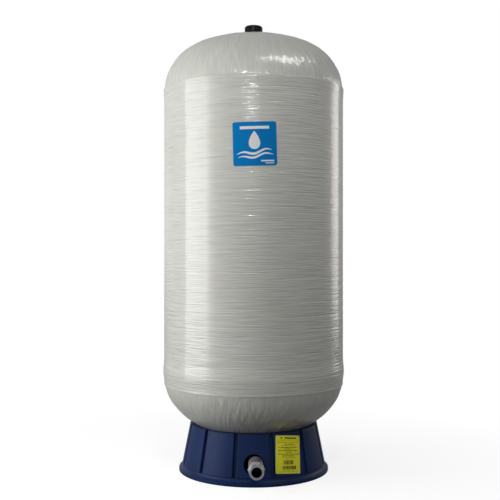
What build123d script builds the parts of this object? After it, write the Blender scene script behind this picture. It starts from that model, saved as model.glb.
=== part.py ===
from build123d import *
import os
from math import acos, asin, atan2, cos, degrees, hypot, radians, sin, sqrt

# Standing water pressure tank: a glass-fibre wound shell over a two-piece plastic liner,
# a rubber diaphragm between air and water, a charging valve under a screwed cover on top,
# an elbow for the water below, and a moulded skirt that it stands on.
# Millimetres, +Z up. The origin is on the tank's axis at floor level, and the water pipe
# points along -Y.

os.makedirs("parts", exist_ok=True)

# Wound shell
shell_radius = 270.0
shell_wall = 5.0
dome_swell = 0.6
barrel_length = 854.0
top_knuckle_radius = 154.0
top_crown_radius = 472.0
bottom_dome_depth = 182.7
hoop_top_rise = 10.0
hoop_bottom_drop = 22.0
hoop_edge_step = 1.2
hoop_edge_bevel = 1.5
hoop_edge_lean = 0.25
top_build_up = 1.8
top_build_up_length = 44.0
bottom_build_up = 2.6
bottom_build_up_rise = 20.0
bottom_build_up_length = 42.0

# Liner halves, diaphragm and the ring that clenches it
liner_wall = 3.5
liner_joint_rise = 421.0
liner_lap = 16.0
diaphragm_wall = 2.5
diaphragm_slack = 0.5
diaphragm_rest_gap = 1.0
bead_height = 18.0
bead_thickness = 7.0
bead_middle_rise = 376.0
clench_wall = 1.5
clench_lip_gap = 0.5

# Air fitting in the top dome
top_neck_radius = 23.0
top_neck_rise = 12.0
top_flange_radius = 46.0
top_flange_edge = 5.0
pocket_radius = 16.0
pocket_depth = 18.0
ring_section_radius = 1.75
ring_groove_play = 0.1
top_ring_radius = 34.0
stem_thread_radius = 6.5
stem_thread_length = 11.0
stem_hex_flats = 17.0
stem_hex_height = 5.0
stem_seal_wall = 1.8
stem_seal_thickness = 1.2
stem_radius = 3.85
stem_height = 20.0
core_bore_radius = 2.45
core_length = 9.0
core_wall = 0.7
core_ledge = 1.0
core_setback = 1.0
air_way_radius = 2.0

# Spring-loaded pin of the air valve
pin_radius = 0.7
pin_clearance = 0.05
pin_head_radius = 1.0
pin_setback = 0.4
pin_collar_radius = 1.4
pin_collar_thickness = 0.8
pin_collar_drop = 1.4
pin_disc_radius = 1.6
pin_disc_thickness = 0.8
pin_seal_thickness = 0.8
spring_wire_radius = 0.2
spring_radius = 1.15
spring_turns = 5

# Small cap on the valve stem and its washer
stem_cap_radius = 5.2
stem_cap_clearance = 0.08
stem_cap_skirt = 7.0
stem_cap_top = 2.4
stem_cap_chamfer = 0.8
cap_washer_thickness = 0.8
cap_washer_wall = 1.2

# Screwed cover over the whole valve
cover_radius = 27.0
cover_height = 28.0
cover_top = 4.0
cover_thread_clearance = 0.35
cover_dome_gap = 0.5
cover_room_radius = 19.0
cover_edge_chamfer = 3.2
cover_grip_count = 20
cover_grip_radius = 2.6
cover_grip_depth = 0.7
cover_grip_height = 18.0
cover_seal_thickness = 2.0

# Water fitting in the bottom dome
bottom_neck_radius = 31.0
bottom_neck_drop = 4.0
bottom_flange_radius = 52.0
bottom_flange_edge = 5.0
bottom_ring_radius = 42.0

# Water elbow, a one-piece casting
pipe_height = 59.7
pipe_radius = 21.0
pipe_bore_radius = 14.5
pipe_reach = 296.0
pipe_thread_radius = 20.95
pipe_thread_length = 25.0
pipe_thread_chamfer = 1.2
pipe_hex_flats = 42.0
pipe_hex_length = 11.0
elbow_bend_radius = 26.0
elbow_collar_flats = 54.0
elbow_collar_height = 6.6
elbow_thread_engagement = 15.0
elbow_ring_radius = 24.0

# Diffuser over the water inlet
diffuser_flange_radius = 27.0
diffuser_flange_thickness = 1.5
diffuser_wall = 1.5
diffuser_plug_depth = 4.0
diffuser_height = 7.0
diffuser_slot_count = 10
diffuser_slot_width = 4.0
diffuser_slot_height = 3.0

# Moulded skirt
seat_inner_radius = 163.0
seat_bead_thickness = 1.5
seat_bead_margin = 2.0
seat_bead_width = 14.0
skirt_wall = 5.5
ledge_drop = 0.5
ledge_width = 12.0
rim_fillet = 3.0
panel_spread = 23.5
panel_foot_height = 23.0
panel_foot_step = 1.3
foot_flare = 10.5
foot_lip_height = 9.0
foot_lip_width = 6.0
foot_lip_shelf = 2.2
foot_lip_fillet = 1.8
panel_count = 12
skirt_turn = -1.4
channel_width = 11.0
channel_floor = 7.0
channel_depth = 8.0
channel_shoulder = 3.2
outlet_radius = 28.0
outlet_drop = 0.7
outlet_edge = 0.8

# Stickers
sticker_thickness = 0.5
sticker_glue = 0.1
front_sticker_side = 120.0
front_sticker_corner = 6.0
front_sticker_drop = 183.0
front_sticker_azimuth = -0.9
front_sticker_tilt = 1.5
side_sticker_width = 79.5
side_sticker_length = 105.5
side_sticker_corner = 3.0
side_sticker_drop = 0.75
side_sticker_azimuth = 28.8
side_sticker_tilt = -6.2

# Heights from the floor up: the elbow carries the boss, and the boss the vessel
bottom_neck_height = pipe_height + elbow_bend_radius + elbow_collar_height
bottom_tangent_height = bottom_neck_height + bottom_neck_drop + bottom_dome_depth
top_tangent_height = bottom_tangent_height + barrel_length
hoop_top_height = top_tangent_height + hoop_top_rise
hoop_bottom_height = bottom_tangent_height - hoop_bottom_drop

# Shape of the vessel, shared by every piece that follows it
dome_radius = shell_radius + dome_swell
liner_inset = dome_swell + shell_wall
inner_inset = liner_inset + liner_wall
knuckle_centre = dome_radius - top_knuckle_radius
crown_turn = degrees(acos(knuckle_centre / (top_crown_radius - top_knuckle_radius)))
crown_drop = (top_crown_radius - top_knuckle_radius) * sin(radians(crown_turn))
crown_centre_height = top_tangent_height - crown_drop
liner_outer_radius = dome_radius - liner_inset
liner_inner_radius = dome_radius - inner_inset
liner_lap_radius = (liner_outer_radius + liner_inner_radius) / 2


def crown_height(radius, inset):
    """Height of the top dome's crown at a radius, inset from the outside of the shell."""
    return crown_centre_height + sqrt((top_crown_radius - inset) ** 2 - radius**2)


def bottom_height(radius, inset):
    """Height of the bottom dome at a radius, inset from the outside of the shell."""
    share = radius / (dome_radius - inset)
    return bottom_tangent_height - (bottom_dome_depth - inset) * sqrt(1 - share**2)


def crown_arc(inset, neck_radius):
    """Crown of the top dome in the section plane, from the knuckle in to a neck."""
    radius = top_crown_radius - inset
    turn = degrees(acos(neck_radius / radius)) - crown_turn
    return CenterArc((0, crown_centre_height), radius, start_angle=crown_turn, arc_size=turn)


def knuckle_arc(inset, start_angle=0.0):
    """Knuckle of the top dome in the section plane, from the barrel up to the crown."""
    centre = (knuckle_centre, top_tangent_height)
    turn = crown_turn - start_angle
    return CenterArc(centre, top_knuckle_radius - inset, start_angle=start_angle, arc_size=turn)


def bottom_arc(inset, inner_radius, stop_angle=0.0, lift=0.0):
    """Bottom dome in the section plane, from a neck out to stop_angle below the tangent line."""
    across = dome_radius - inset
    depth = bottom_dome_depth - inset - lift
    turn = degrees(acos(inner_radius / across))
    return EllipticalCenterArc(
        (0, bottom_tangent_height), across, depth, start_angle=360 - turn, arc_size=turn - stop_angle
    )


# Heights that the fittings share
neck_top_height = crown_height(0, 0) + top_neck_rise
pocket_floor_height = neck_top_height - pocket_depth
stem_top_height = pocket_floor_height + stem_height
bottom_flange_height = bottom_height(bottom_flange_radius, inner_inset) + bottom_flange_edge

# Wound shell: dome windings from neck to neck, and the hoop winding that swells at both ends
hoop_top_angle = degrees(asin(hoop_top_rise / top_knuckle_radius))
hoop_bottom_angle = degrees(asin(hoop_bottom_drop / bottom_dome_depth))
bottom_build_up_height = bottom_tangent_height + bottom_build_up_rise

with BuildPart() as composite_shell:
    with BuildSketch(Plane.XZ) as shell_section:
        with BuildLine() as shell_outline:
            outer_crown = crown_arc(0, top_neck_radius)
            outer_knuckle = knuckle_arc(0, hoop_top_angle)
            top_edge = outer_knuckle @ 0
            top_swell = (shell_radius + top_build_up, hoop_top_height - hoop_edge_bevel)
            Line(top_edge, top_swell)
            swell_end = (shell_radius, hoop_top_height - top_build_up_length)
            Spline(top_swell, swell_end, tangents=((0, -1), (0, -1)))
            bottom_swell_start = (shell_radius, bottom_build_up_height + bottom_build_up_length)
            Line(swell_end, bottom_swell_start)
            bottom_swell = (shell_radius + bottom_build_up, bottom_build_up_height)
            Spline(bottom_swell_start, bottom_swell, tangents=((0, -1), (0, -1)))
            outer_bottom = bottom_arc(0, bottom_neck_radius, hoop_bottom_angle)
            bottom_edge = outer_bottom @ 1
            bottom_step = (bottom_edge.X + hoop_edge_step, bottom_edge.Y + hoop_edge_bevel)
            Spline(bottom_swell, bottom_step, tangents=((0, -1), (-hoop_edge_lean, -1)))
            Line(bottom_step, bottom_edge)
            inner_bottom = bottom_arc(liner_inset, bottom_neck_radius)
            inner_knuckle = knuckle_arc(liner_inset)
            inner_crown = crown_arc(liner_inset, top_neck_radius)
            Line(outer_bottom @ 0, inner_bottom @ 0)
            Line(inner_bottom @ 1, inner_knuckle @ 0)
            Line(inner_crown @ 1, outer_crown @ 1)
        make_face()
    revolve(axis=Axis.Z)

# Liner halves: the upper one laps over the lower one at the joint
liner_joint_height = bottom_tangent_height + liner_joint_rise
lap_foot_height = liner_joint_height - liner_lap

with BuildPart() as upper_liner:
    with BuildSketch(Plane.XZ) as upper_liner_section:
        with BuildLine() as upper_liner_outline:
            liner_crown = crown_arc(liner_inset, top_neck_radius)
            liner_knuckle = knuckle_arc(liner_inset)
            room_knuckle = knuckle_arc(inner_inset)
            room_crown = crown_arc(inner_inset, top_neck_radius)
            Polyline(
                liner_knuckle @ 0,
                (liner_outer_radius, lap_foot_height),
                (liner_lap_radius, lap_foot_height),
                (liner_lap_radius, liner_joint_height),
                (liner_inner_radius, liner_joint_height),
                room_knuckle @ 0,
            )
            Line(room_crown @ 1, liner_crown @ 1)
        make_face()
    revolve(axis=Axis.Z)

with BuildPart() as lower_liner:
    with BuildSketch(Plane.XZ) as lower_liner_section:
        with BuildLine() as lower_liner_outline:
            liner_bottom = bottom_arc(liner_inset, bottom_neck_radius)
            room_bottom = bottom_arc(inner_inset, bottom_neck_radius)
            Polyline(
                liner_bottom @ 1,
                (liner_outer_radius, lap_foot_height),
                (liner_lap_radius, lap_foot_height),
                (liner_lap_radius, liner_joint_height),
                (liner_inner_radius, liner_joint_height),
                room_bottom @ 1,
            )
            Line(room_bottom @ 0, liner_bottom @ 0)
        make_face()
    revolve(axis=Axis.Z)

# Diaphragm: a rubber bowl that lies on the lower liner while the tank holds only air,
# and just clears the diffuser at its middle
diaphragm_inset = inner_inset + diaphragm_slack
diffuser_top_height = bottom_flange_height + diffuser_flange_thickness + diffuser_height
diaphragm_foot_height = diffuser_top_height + diaphragm_rest_gap
diaphragm_lift = diaphragm_foot_height - bottom_height(0, diaphragm_inset)
bead_middle_height = bottom_tangent_height + bead_middle_rise
bead_bottom_height = bead_middle_height - bead_height / 2
bead_top_height = bead_middle_height + bead_height / 2
bead_inner_radius = liner_inner_radius - bead_thickness

with BuildPart() as diaphragm:
    with BuildSketch(Plane.XZ) as diaphragm_section:
        with BuildLine() as diaphragm_outline:
            wet_face = bottom_arc(diaphragm_inset, 0, lift=diaphragm_lift)
            air_face = bottom_arc(diaphragm_inset + diaphragm_wall, 0, lift=diaphragm_lift)
            wet_edge = wet_face @ 1
            air_edge = air_face @ 1
            Polyline(
                wet_edge,
                (wet_edge.X, bead_bottom_height),
                (liner_inner_radius, bead_bottom_height),
                (liner_inner_radius, bead_top_height),
                (bead_inner_radius, bead_top_height),
                (bead_inner_radius, bead_bottom_height),
                (air_edge.X, bead_bottom_height),
                air_edge,
            )
            Line(air_face @ 0, wet_face @ 0)
        make_face()
    revolve(axis=Axis.Z)

# Clench ring: a rolled steel channel that presses the diaphragm's bead against the liner
with BuildPart() as clench_ring:
    with BuildSketch(Plane.XZ) as clench_section:
        with BuildLine() as clench_outline:
            ring_back = bead_inner_radius - clench_wall
            upper_lip = liner_inner_radius - clench_lip_gap
            lower_lip = dome_radius - diaphragm_inset - diaphragm_wall - clench_lip_gap
            Polyline(
                (ring_back, bead_bottom_height - clench_wall),
                (lower_lip, bead_bottom_height - clench_wall),
                (lower_lip, bead_bottom_height),
                (bead_inner_radius, bead_bottom_height),
                (bead_inner_radius, bead_top_height),
                (upper_lip, bead_top_height),
                (upper_lip, bead_top_height + clench_wall),
                (ring_back, bead_top_height + clench_wall),
                close=True,
            )
        make_face()
    revolve(axis=Axis.Z)

# Top boss: flange inside the liner, threaded neck through the shell, pocket for the valve
top_flange_height = crown_height(top_flange_radius, inner_inset) - top_flange_edge
ring_groove_width = 2 * (ring_section_radius + ring_groove_play)
top_ring_height = crown_height(top_ring_radius, inner_inset + ring_section_radius)

with BuildPart() as top_boss:
    with BuildSketch(Plane.XZ) as top_boss_section:
        with BuildLine() as top_boss_outline:
            flange_arc = CenterArc(
                (0, crown_centre_height),
                top_crown_radius - inner_inset,
                start_angle=degrees(acos(top_flange_radius / (top_crown_radius - inner_inset))),
                arc_size=degrees(
                    asin(top_flange_radius / (top_crown_radius - inner_inset))
                    - asin(top_neck_radius / (top_crown_radius - inner_inset))
                ),
            )
            Polyline(
                flange_arc @ 0,
                (top_flange_radius, top_flange_height),
                (stem_thread_radius, top_flange_height),
                (stem_thread_radius, pocket_floor_height),
                (pocket_radius, pocket_floor_height),
                (pocket_radius, neck_top_height),
                (top_neck_radius, neck_top_height),
                flange_arc @ 1,
            )
        make_face()
        with Locations((top_ring_radius, top_ring_height)):
            Rectangle(ring_groove_width, ring_groove_width, mode=Mode.SUBTRACT)
    revolve(axis=Axis.Z)

with BuildPart() as top_boss_ring:
    with BuildSketch(Plane.XZ) as top_ring_section:
        with Locations((top_ring_radius, top_ring_height)):
            Circle(ring_section_radius)
    revolve(axis=Axis.Z)

# Valve stem: brass, screwed into the floor of the pocket over a flat seal
stem_hex_base = pocket_floor_height + stem_seal_thickness
core_top_height = stem_top_height - core_setback
core_foot_height = core_top_height - core_length

with BuildPart() as valve_stem:
    with BuildSketch(Plane.XY.offset(pocket_floor_height - stem_thread_length)):
        Circle(stem_thread_radius)
    extrude(amount=stem_thread_length + stem_seal_thickness)
    with BuildSketch(Plane.XY.offset(stem_hex_base)) as stem_hex:
        RegularPolygon(stem_hex_flats / 2, 6, major_radius=False)
    extrude(amount=stem_hex_height)
    with BuildSketch(Plane.XY.offset(stem_hex_base + stem_hex_height)):
        Circle(stem_radius)
    extrude(amount=stem_top_height - stem_hex_base - stem_hex_height)
    with Locations((0, 0, stem_top_height)):
        CounterBoreHole(air_way_radius, core_bore_radius, stem_top_height - core_foot_height)

with BuildPart() as stem_seal:
    with BuildSketch(Plane.XY.offset(pocket_floor_height)):
        Circle(stem_thread_radius + stem_seal_wall)
        Circle(stem_thread_radius, mode=Mode.SUBTRACT)
    extrude(amount=stem_seal_thickness)

# Valve core: a sleeve with a ledge that guides the pin and carries its spring
core_ledge_height = core_foot_height + core_ledge

with BuildPart() as valve_core:
    with BuildSketch(Plane.XY.offset(core_foot_height)):
        Circle(core_bore_radius)
    extrude(amount=core_length)
    with Locations((0, 0, core_top_height)):
        CounterBoreHole(
            pin_radius + pin_clearance, core_bore_radius - core_wall, core_length - core_ledge
        )

# Valve pin: head, collar that the spring pushes up, and disc that carries the seal
pin_top_height = stem_top_height - pin_setback
collar_top_height = pin_top_height - pin_collar_drop
collar_foot_height = collar_top_height - pin_collar_thickness
pin_disc_top_height = core_foot_height - pin_seal_thickness
pin_foot_height = pin_disc_top_height - pin_disc_thickness

with BuildPart() as valve_pin:
    with BuildSketch(Plane.XZ) as pin_section:
        with BuildLine() as pin_outline:
            Polyline(
                (0, pin_foot_height),
                (pin_disc_radius, pin_foot_height),
                (pin_disc_radius, pin_disc_top_height),
                (pin_radius, pin_disc_top_height),
                (pin_radius, collar_foot_height),
                (pin_collar_radius, collar_foot_height),
                (pin_collar_radius, collar_top_height),
                (pin_head_radius, collar_top_height),
                (pin_head_radius, pin_top_height),
                (0, pin_top_height),
                close=True,
            )
        make_face()
    revolve(axis=Axis.Z)

with BuildPart() as valve_pin_seal:
    with BuildSketch(Plane.XY.offset(pin_disc_top_height)):
        Circle(pin_disc_radius)
        Circle(pin_radius, mode=Mode.SUBTRACT)
    extrude(amount=pin_seal_thickness)

spring_length = collar_foot_height - core_ledge_height - 2 * spring_wire_radius
spring_pitch = spring_length / spring_turns

with BuildPart() as valve_spring:
    with BuildLine(Plane.XY.offset(core_ledge_height + spring_wire_radius)) as spring_path:
        Helix(pitch=spring_pitch, height=spring_length, radius=spring_radius)
    with BuildSketch(Plane(spring_path.line @ 0, z_dir=spring_path.line % 0)):
        Circle(spring_wire_radius)
    sweep(path=spring_path.line, is_frenet=True)

# Small cap screwed on the stem, closing on a washer
cap_room_radius = stem_radius + stem_cap_clearance
cap_shoulder_height = stem_top_height + cap_washer_thickness

with BuildPart() as stem_cap:
    with BuildSketch(Plane.XZ) as stem_cap_section:
        with BuildLine() as stem_cap_outline:
            Polyline(
                (cap_room_radius, stem_top_height - stem_cap_skirt),
                (stem_cap_radius, stem_top_height - stem_cap_skirt),
                (stem_cap_radius, cap_shoulder_height + stem_cap_top),
                (0, cap_shoulder_height + stem_cap_top),
                (0, cap_shoulder_height),
                (cap_room_radius, cap_shoulder_height),
                close=True,
            )
        make_face()
        top_corner = stem_cap_section.vertices().group_by(Axis.X)[-1].sort_by(Axis.Y)[-1]
        chamfer(top_corner, stem_cap_chamfer)
    revolve(axis=Axis.Z)

with BuildPart() as stem_cap_washer:
    with BuildSketch(Plane.XY.offset(stem_top_height)):
        Circle(stem_radius)
        Circle(stem_radius - cap_washer_wall, mode=Mode.SUBTRACT)
    extrude(amount=cap_washer_thickness)

# Screwed cover over the valve: a moulded cup with a grooved grip, and its flat gasket
cover_foot_height = crown_height(top_neck_radius, 0) + cover_dome_gap
cover_top_height = cover_foot_height + cover_height
cover_shoulder_height = neck_top_height + cover_seal_thickness
cover_thread_room = top_neck_radius + cover_thread_clearance

with BuildPart() as valve_cover:
    with BuildSketch(Plane.XZ) as cover_section:
        with BuildLine() as cover_outline:
            Polyline(
                (cover_thread_room, cover_foot_height),
                (cover_radius, cover_foot_height),
                (cover_radius, cover_top_height),
                (0, cover_top_height),
                (0, cover_top_height - cover_top),
                (cover_room_radius, cover_top_height - cover_top),
                (cover_room_radius, cover_shoulder_height),
                (cover_thread_room, cover_shoulder_height),
                close=True,
            )
        make_face()
        cover_corner = cover_section.vertices().group_by(Axis.X)[-1].sort_by(Axis.Y)[-1]
        chamfer(cover_corner, cover_edge_chamfer)
    revolve(axis=Axis.Z)
    grip_circle = cover_radius + cover_grip_radius - cover_grip_depth
    with BuildSketch(Plane.XY.offset(cover_foot_height)) as cover_grip:
        with PolarLocations(grip_circle, cover_grip_count):
            Circle(cover_grip_radius)
    extrude(amount=cover_grip_height, mode=Mode.SUBTRACT)

with BuildPart() as cover_gasket:
    with BuildSketch(Plane.XY.offset(neck_top_height)):
        Circle(top_neck_radius)
        Circle(cover_room_radius, mode=Mode.SUBTRACT)
    extrude(amount=cover_seal_thickness)

# Bottom boss: flange inside the liner, neck down through the shell, bore for the elbow
bottom_ring_inset = inner_inset + ring_section_radius + ring_groove_play
bottom_ring_height = bottom_height(bottom_ring_radius, bottom_ring_inset)

with BuildPart() as bottom_boss:
    with BuildSketch(Plane.XZ) as bottom_boss_section:
        with BuildLine() as bottom_boss_outline:
            flange_turn = acos(bottom_flange_radius / liner_inner_radius)
            flange_face = bottom_arc(inner_inset, bottom_neck_radius, degrees(flange_turn))
            Polyline(
                flange_face @ 1,
                (bottom_flange_radius, bottom_flange_height),
                (pipe_radius, bottom_flange_height),
                (pipe_radius, bottom_neck_height),
                (bottom_neck_radius, bottom_neck_height),
                flange_face @ 0,
            )
        make_face()
        with Locations((bottom_ring_radius, bottom_ring_height)):
            Rectangle(ring_groove_width, ring_groove_width, mode=Mode.SUBTRACT)
        with Locations((elbow_ring_radius, bottom_neck_height)):
            Rectangle(ring_groove_width, 2 * ring_groove_width, mode=Mode.SUBTRACT)
    revolve(axis=Axis.Z)

with BuildPart() as bottom_boss_ring:
    with BuildSketch(Plane.XZ) as bottom_ring_section:
        with Locations((bottom_ring_radius, bottom_ring_height)):
            Circle(ring_section_radius)
    revolve(axis=Axis.Z)

with BuildPart() as elbow_ring:
    with BuildSketch(Plane.XZ) as elbow_ring_section:
        with Locations((elbow_ring_radius, bottom_neck_height + ring_section_radius)):
            Circle(ring_section_radius)
    revolve(axis=Axis.Z)

# Water elbow: threaded leg up into the boss, hexagon collar, bend, and the pipe that runs
# out through the skirt to a second hexagon and the outside thread
elbow_top_height = bottom_neck_height + elbow_thread_engagement
bend_start_height = pipe_height + elbow_bend_radius
thread_start = pipe_reach - pipe_thread_length
bend_points = ((0, elbow_top_height), (0, bend_start_height), (-elbow_bend_radius, pipe_height))

with BuildPart() as water_elbow:
    with BuildLine(Plane.YZ) as pipe_path:
        Line(bend_points[0], bend_points[1])
        TangentArc(bend_points[1], bend_points[2], tangent=(0, -1))
        Line(bend_points[2], (-thread_start, pipe_height))
    with BuildSketch(Plane.XY.offset(elbow_top_height)):
        Circle(pipe_radius)
    sweep(path=pipe_path.line)
    with BuildSketch(Plane.XY.offset(bottom_neck_height)) as elbow_collar:
        RegularPolygon(elbow_collar_flats / 2, 6, major_radius=False)
    extrude(amount=-elbow_collar_height)
    pipe_plane = Plane((0, -thread_start, pipe_height), x_dir=(1, 0, 0), z_dir=(0, -1, 0))
    with BuildSketch(pipe_plane):
        Circle(pipe_thread_radius)
    thread_end = extrude(amount=pipe_thread_length)
    chamfer(thread_end.edges().group_by(Axis.Y)[0], pipe_thread_chamfer)
    with BuildSketch(pipe_plane) as pipe_hex:
        RegularPolygon(pipe_hex_flats / 2, 6, major_radius=False)
    extrude(amount=-pipe_hex_length)
    with BuildLine(Plane.YZ) as bore_path:
        Line(bend_points[0], bend_points[1])
        TangentArc(bend_points[1], bend_points[2], tangent=(0, -1))
        Line(bend_points[2], (-pipe_reach, pipe_height))
    with BuildSketch(Plane.XY.offset(elbow_top_height)):
        Circle(pipe_bore_radius)
    sweep(path=bore_path.line, mode=Mode.SUBTRACT)

# Diffuser: a slotted cap that keeps the diaphragm off the inlet
with BuildPart() as inlet_diffuser:
    with BuildSketch(Plane.XZ) as diffuser_section:
        with BuildLine() as diffuser_outline:
            plug_foot = bottom_flange_height - diffuser_plug_depth
            seat_top = bottom_flange_height + diffuser_flange_thickness
            crown_foot = diffuser_top_height - diffuser_wall
            Polyline(
                (pipe_radius - diffuser_wall, plug_foot),
                (pipe_radius, plug_foot),
                (pipe_radius, bottom_flange_height),
                (diffuser_flange_radius, bottom_flange_height),
                (diffuser_flange_radius, seat_top),
                (pipe_radius, seat_top),
                (pipe_radius, crown_foot),
            )
            crown_edge = (pipe_radius - diffuser_wall, diffuser_top_height)
            RadiusArc((pipe_radius, crown_foot), crown_edge, -diffuser_wall)
            Polyline(
                crown_edge,
                (0, diffuser_top_height),
                (0, crown_foot),
                (pipe_radius - diffuser_wall, crown_foot),
                (pipe_radius - diffuser_wall, plug_foot),
            )
        make_face()
    revolve(axis=Axis.Z)
    slot_middle = seat_top + (crown_foot - seat_top) / 2
    slot_length = diffuser_flange_radius
    with PolarLocations(slot_length / 2 + diffuser_wall, diffuser_slot_count):
        with Locations((0, 0, slot_middle)):
            Box(slot_length, diffuser_slot_width, diffuser_slot_height, mode=Mode.SUBTRACT)

# Skirt: leaning panels between upright channels, a seat that fits the dome, a flared foot
ledge_inner_radius = seat_inner_radius + seat_bead_margin + seat_bead_width
rim_radius = ledge_inner_radius + ledge_width
panel_foot_radius = rim_radius + panel_spread
foot_radius = panel_foot_radius + foot_flare
skirt_height = bottom_height(ledge_inner_radius, 0) - ledge_drop
panel_rise = skirt_height - panel_foot_height
panel_lean = atan2(panel_foot_radius - rim_radius, panel_rise)
panel_length = hypot(panel_foot_radius - rim_radius, panel_rise)
wall_across = skirt_wall / cos(panel_lean)
channel_overrun = skirt_wall + rim_fillet


def heading(azimuth):
    """Level direction at an azimuth from the front, positive towards +X."""
    return sin(radians(azimuth)), -cos(radians(azimuth))


def channel_plane(azimuth, start):
    """Plane across a channel at an azimuth, start down the panel from the rim, facing down it."""
    out_x, out_y = heading(azimuth)
    lean_out = sin(panel_lean)
    radius = rim_radius + start * lean_out
    return Plane(
        origin=(radius * out_x, radius * out_y, skirt_height - start * cos(panel_lean)),
        x_dir=(-out_y, out_x, 0),
        z_dir=(lean_out * out_x, lean_out * out_y, -cos(panel_lean)),
    )


panel_step = 360 / panel_count
channel_azimuths = [skirt_turn + panel_step * (index + 0.5) for index in range(panel_count)]

with BuildPart() as base_skirt:
    with BuildSketch(Plane.XZ) as skirt_section:
        with BuildLine() as skirt_outline:
            flare_top = (panel_foot_radius - panel_foot_step, panel_foot_height - panel_foot_step)
            flare_foot = (foot_radius - foot_lip_shelf, foot_lip_height)
            Polyline(
                (ledge_inner_radius, skirt_height),
                (rim_radius, skirt_height),
                (panel_foot_radius, panel_foot_height),
                flare_top,
            )
            TangentArc(flare_top, flare_foot, tangent=(0, -1))
            Polyline(
                flare_foot,
                (foot_radius, foot_lip_height),
                (foot_radius, 0),
                (foot_radius - foot_lip_width, 0),
                (foot_radius - foot_lip_width, foot_lip_height - foot_lip_width),
                (panel_foot_radius - wall_across, panel_foot_height - panel_foot_step),
                (rim_radius - wall_across, skirt_height - skirt_wall),
                (ledge_inner_radius, skirt_height - skirt_wall),
                (ledge_inner_radius, skirt_height),
            )
        make_face()
        lip_corner = skirt_section.vertices().group_by(Axis.X)[-1].sort_by(Axis.Y)[-1]
        fillet(lip_corner, foot_lip_fillet)
        rim_corner = skirt_section.vertices().group_by(Axis.Y)[-1].sort_by(Axis.X)[-1]
        fillet(rim_corner, rim_fillet)
    revolve(axis=Axis.Z)
    # The seat under the dome is a lip of even thickness
    with BuildSketch(Plane.XZ) as seat_section:
        with Locations((0, bottom_tangent_height)):
            seat_out = seat_bead_thickness + skirt_wall
            Ellipse(dome_radius + seat_out, bottom_dome_depth + seat_out)
        seat_width = rim_radius - wall_across - seat_inner_radius
        with Locations((seat_inner_radius + seat_width / 2, skirt_height / 2)):
            Rectangle(seat_width, skirt_height, mode=Mode.INTERSECT)
    revolve(axis=Axis.Z)
    # Behind each channel the wall is carried inwards
    rib_planes = [channel_plane(azimuth, skirt_wall / 2) for azimuth in channel_azimuths]
    with BuildSketch(*rib_planes) as rib_section:
        rib_width = channel_width + 2 * skirt_wall
        rib_depth = channel_depth + skirt_wall
        with BuildLine():
            Polyline(
                (rib_width / 2, -skirt_wall / 2),
                (channel_floor / 2 + skirt_wall, -rib_depth),
                (-channel_floor / 2 - skirt_wall, -rib_depth),
                (-rib_width / 2, -skirt_wall / 2),
                close=True,
            )
        make_face()
    extrude(amount=panel_length)
    cut_planes = [channel_plane(azimuth, -channel_overrun) for azimuth in channel_azimuths]
    with BuildSketch(*cut_planes) as channel_section:
        mouth = channel_width / 2 + channel_shoulder
        with BuildLine():
            Polyline(
                (channel_width / 2, -channel_shoulder),
                (channel_floor / 2, -channel_depth),
                (-channel_floor / 2, -channel_depth),
                (-channel_width / 2, -channel_shoulder),
            )
            RadiusArc((-channel_width / 2, -channel_shoulder), (-mouth, 0), -channel_shoulder)
            Polyline((-mouth, 0), (-mouth, channel_depth), (mouth, channel_depth), (mouth, 0))
            RadiusArc((mouth, 0), (channel_width / 2, -channel_shoulder), -channel_shoulder)
        make_face()
    extrude(amount=panel_length + channel_overrun, mode=Mode.SUBTRACT)
    # Room for the dome and its bead of adhesive
    with BuildSketch(Plane.XZ) as dome_room:
        with Locations((0, bottom_tangent_height)):
            Ellipse(dome_radius + seat_bead_thickness, bottom_dome_depth + seat_bead_thickness)
        with Locations((dome_radius, bottom_tangent_height)):
            Rectangle(2 * dome_radius, 2 * bottom_tangent_height, mode=Mode.INTERSECT)
    revolve(axis=Axis.Z, mode=Mode.SUBTRACT)
    # Outlet in the front panel
    front_x, front_y = heading(skirt_turn)
    outlet_plane = Plane(
        origin=(0, 0, pipe_height - outlet_drop),
        x_dir=(-front_y, front_x, 0),
        z_dir=(front_x, front_y, 0),
    )
    with BuildSketch(outlet_plane):
        Circle(outlet_radius)
    extrude(amount=foot_radius, mode=Mode.SUBTRACT)
    outlet_edges = base_skirt.edges(Select.LAST).filter_by(GeomType.BSPLINE)
    chamfer(outlet_edges.sort_by(SortBy.DISTANCE)[-1], outlet_edge)

with BuildPart() as seat_bead:
    with BuildSketch(Plane.XZ) as bead_section:
        with Locations((0, bottom_tangent_height)):
            Ellipse(dome_radius + seat_bead_thickness, bottom_dome_depth + seat_bead_thickness)
            Ellipse(dome_radius, bottom_dome_depth, mode=Mode.SUBTRACT)
        with Locations((ledge_inner_radius - seat_bead_width / 2, 0)):
            Rectangle(seat_bead_width, 2 * bottom_tangent_height, mode=Mode.INTERSECT)
    revolve(axis=Axis.Z)

# Stickers: thin sheets that follow the barrel and the leaning panel
front_sticker_height = top_tangent_height - front_sticker_drop
front_x, front_y = heading(front_sticker_azimuth)
front_plane = Plane(
    origin=(shell_radius * front_x, shell_radius * front_y, front_sticker_height),
    x_dir=(-front_y, front_x, 0),
    z_dir=(front_x, front_y, 0),
)

with BuildPart() as front_sticker:
    with BuildSketch(front_plane):
        RectangleRounded(
            front_sticker_side, front_sticker_side, front_sticker_corner, rotation=front_sticker_tilt
        )
    extrude(amount=front_sticker_side / 2, both=True)
    with BuildSketch(Plane.XY.offset(front_sticker_height - front_sticker_side)):
        Circle(shell_radius + sticker_glue + sticker_thickness)
        Circle(shell_radius + sticker_glue, mode=Mode.SUBTRACT)
    extrude(amount=2 * front_sticker_side, mode=Mode.INTERSECT)

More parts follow.
